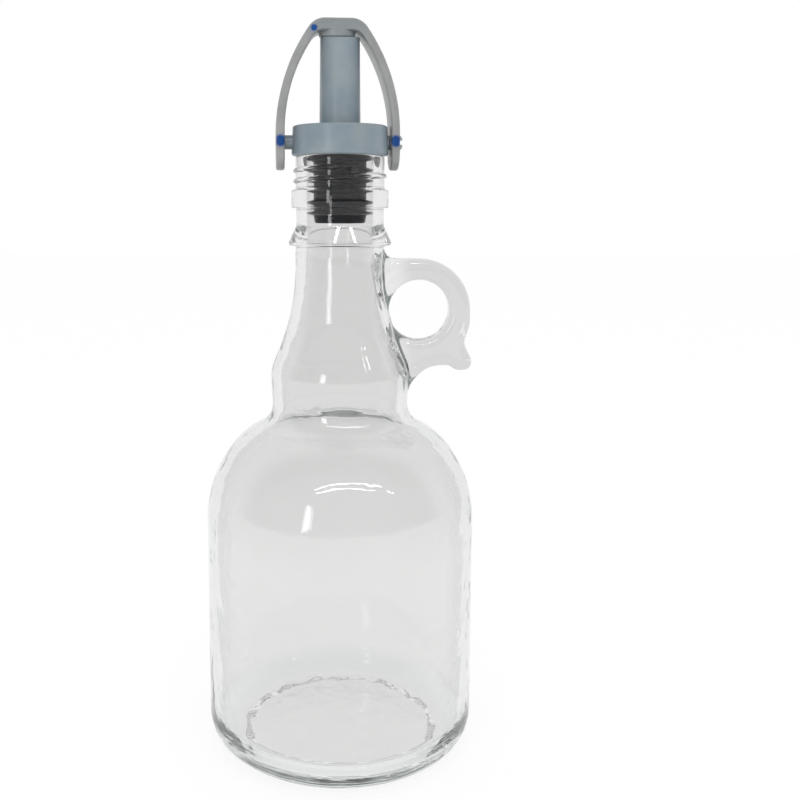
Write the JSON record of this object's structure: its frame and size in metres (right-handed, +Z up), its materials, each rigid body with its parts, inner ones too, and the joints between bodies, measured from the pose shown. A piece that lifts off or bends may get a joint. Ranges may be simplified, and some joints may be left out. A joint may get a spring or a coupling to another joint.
{
  "type": "oil cruet",
  "caption": "Empty clear glass oil cruet with a ring handle on the neck, a screw finish, and a pourer stopper closed by a swinging bail.",
  "frame": {"origin": "centre of the foot's bearing ring, on the bottle's axis", "axes": "+Z up along the bottle's axis, +X towards the ring handle, -Y towards the viewer"},
  "size_m": [0.086, 0.086, 0.2314],
  "materials": {
    "clear_glass": "smooth clear, faint green-grey where thick",
    "blue_grey_plastic": "satin moulded",
    "dark_plastic": "satin moulded",
    "milky_grey_plastic": "slightly translucent, moulded"
  },
  "bodies": {
    "bottle": {"glass_bottle": "clear_glass", "pourer": "blue_grey_plastic", "stopper_plug": "dark_plastic"},
    "bail": {"bail": "milky_grey_plastic"}
  },
  "joints": [
    {"name": "bail_swing", "type": "hinge", "parent": "bottle", "child": "bail", "pos_m": [0, 0, 0.1945], "axis": [0.9962, 0.0872, 0], "range_deg": [-135, 135]}
  ]
}
